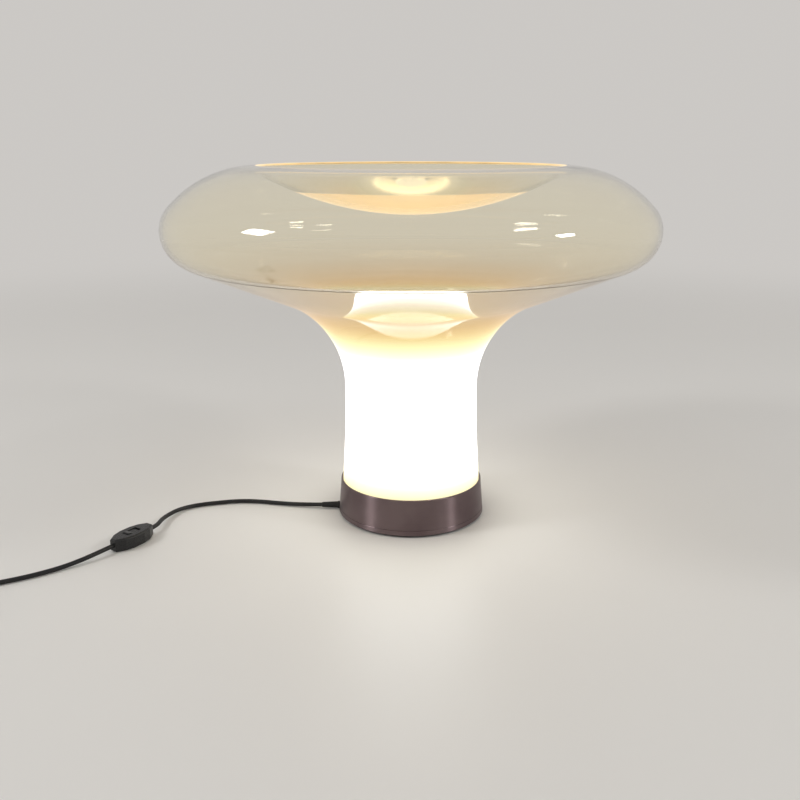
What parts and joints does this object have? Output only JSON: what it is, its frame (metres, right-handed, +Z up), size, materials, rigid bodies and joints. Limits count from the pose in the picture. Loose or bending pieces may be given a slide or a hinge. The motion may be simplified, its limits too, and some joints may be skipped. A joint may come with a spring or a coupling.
{
  "type": "mushroom table lamp",
  "caption": "Low table lamp with a one-piece blown glass diffuser, a wide shallow cap with a dished top on a flared stem, a metal base ring, and a cord with an inline rocker switch.",
  "frame": {"origin": "centre of the felt pad's underside, where the lamp stands on the table", "axes": "+Z up along the lamp's axis; the cord leaves the base ring towards -X"},
  "size_m": [0.7613, 0.6007, 0.3801],
  "materials": {
    "blown_glass": "blown glass, opal white in the stem and fading to clear under the cap",
    "felt": "dense felt",
    "steel_plate": "matte black powder coat",
    "ring_metal": "dark satin nickel",
    "fastener_steel": "zinc plated",
    "soft_rubber": "matte",
    "cord_jacket": "smooth jacket with a low sheen",
    "lead_jacket": "smooth heatproof sleeve",
    "yellow_brass": "bare",
    "holder_plastic": "moulded, low sheen",
    "holder_ceramic": "unglazed",
    "bulb_glass": "frosted",
    "bulb_aluminium": "rolled thread",
    "bulb_insulation": "glassy black",
    "stem_glass": "clear",
    "filament_wire": "drawn wire",
    "switch_plastic": "moulded, soft gloss",
    "plug_plastic": "moulded",
    "pin_metal": "nickel plated"
  },
  "bodies": {
    "base": {"base_pad": "felt", "base_plate": "steel_plate", "base_ring": "ring_metal", "seat_plate": "steel_plate", "spacer_posts": "fastener_steel", "base_screws": "fastener_steel", "seat_screws": "fastener_steel", "bracket_screws": "fastener_steel", "cord_clamp": "steel_plate", "cord_clamp_screws": "fastener_steel", "glass_gasket": "soft_rubber", "cord_bush": "soft_rubber", "cord_inner": "cord_jacket", "lead_grommet": "soft_rubber", "inner_leads": "lead_jacket", "holder_bracket": "fastener_steel", "holder_nipple": "yellow_brass", "nipple_washer": "fastener_steel", "nipple_nut": "yellow_brass", "lampholder_cap": "holder_plastic", "lampholder_skirt": "holder_plastic", "lampholder_insert": "holder_ceramic", "lampholder_thread": "yellow_brass", "lampholder_contact": "yellow_brass", "terminal_screws": "yellow_brass", "cord_to_switch": "cord_jacket", "cord_to_coil": "cord_jacket", "cord_coil": "cord_jacket", "cord_to_plug": "cord_jacket", "switch_lower_half": "switch_plastic", "switch_upper_half": "switch_plastic", "switch_pivot_pin": "fastener_steel", "switch_contacts": "yellow_brass", "switch_screws": "fastener_steel", "plug_body": "plug_plastic", "plug_pins": "pin_metal", "plug_relief": "soft_rubber"},
    "glass": {"glass_diffuser": "blown_glass"},
    "bulb": {"bulb_envelope": "bulb_glass", "bulb_cap": "bulb_aluminium", "bulb_insulator": "bulb_insulation", "bulb_tip": "fastener_steel", "bulb_mount": "stem_glass", "bulb_wires": "fastener_steel", "bulb_filament": "filament_wire"},
    "rocker": {"switch_rocker": "switch_plastic", "switch_bridge": "yellow_brass"}
  },
  "joints": [
    {"name": "glass_lift", "type": "slide", "parent": "base", "child": "glass", "axis": [0, 0, 1], "range_m": [0, 0.165]},
    {"name": "bulb_lift", "type": "slide", "parent": "base", "child": "bulb", "axis": [0, 0, 1], "range_m": [0, 0.03]},
    {"name": "rocker_tilt", "type": "hinge", "parent": "base", "child": "rocker", "pos_m": [-0.2906, -0.0934, 0.0106], "axis": [0.848, -0.5299, 0], "range_deg": [0, 16]}
  ]
}
